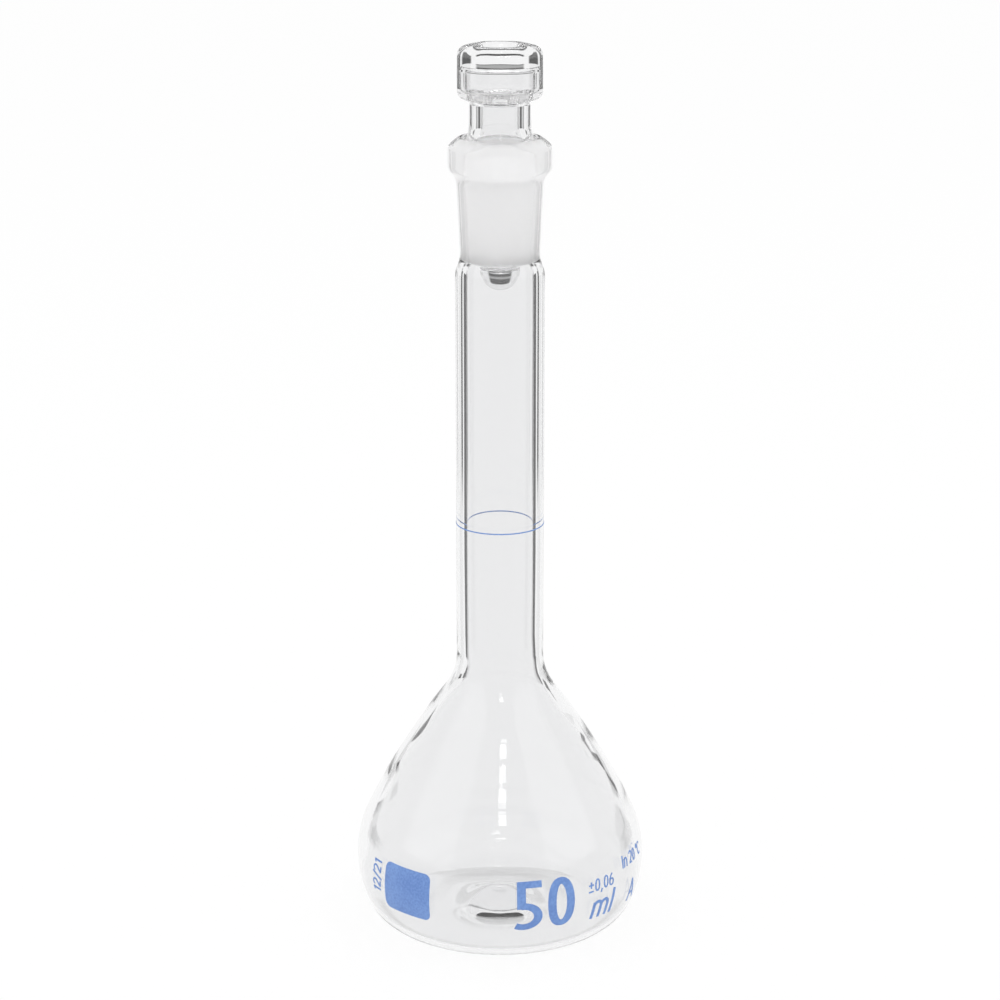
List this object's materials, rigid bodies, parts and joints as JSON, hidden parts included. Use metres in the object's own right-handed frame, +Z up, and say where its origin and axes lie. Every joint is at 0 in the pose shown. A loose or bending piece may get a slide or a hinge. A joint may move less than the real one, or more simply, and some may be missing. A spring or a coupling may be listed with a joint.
{
  "type": "volumetric flask",
  "caption": "Clear glass volumetric flask with a pear-shaped bulb, long neck with a ring mark, ground taper joint and hollow glass stopper that lifts out.",
  "frame": {"origin": "middle of the standing ring, on the table", "axes": "+Z up along the flask's axis; the printed face looks along -Y"},
  "size_m": [0.0512, 0.0512, 0.1552],
  "materials": {
    "clear_glass": "gloss",
    "ground_glass": "frosted inside, gloss outside",
    "stopper_glass": "gloss head, frosted cone",
    "blue_enamel": "fired satin"
  },
  "bodies": {
    "flask": {"flask_body": "clear_glass", "joint_socket": "ground_glass", "graduation_ring": "blue_enamel", "writing_panel": "blue_enamel"},
    "stopper": {"stopper": "stopper_glass"}
  },
  "joints": [
    {"name": "stopper_lift", "type": "slide", "parent": "flask", "child": "stopper", "axis": [0, 0, 1], "range_m": [0, 0.03]}
  ]
}
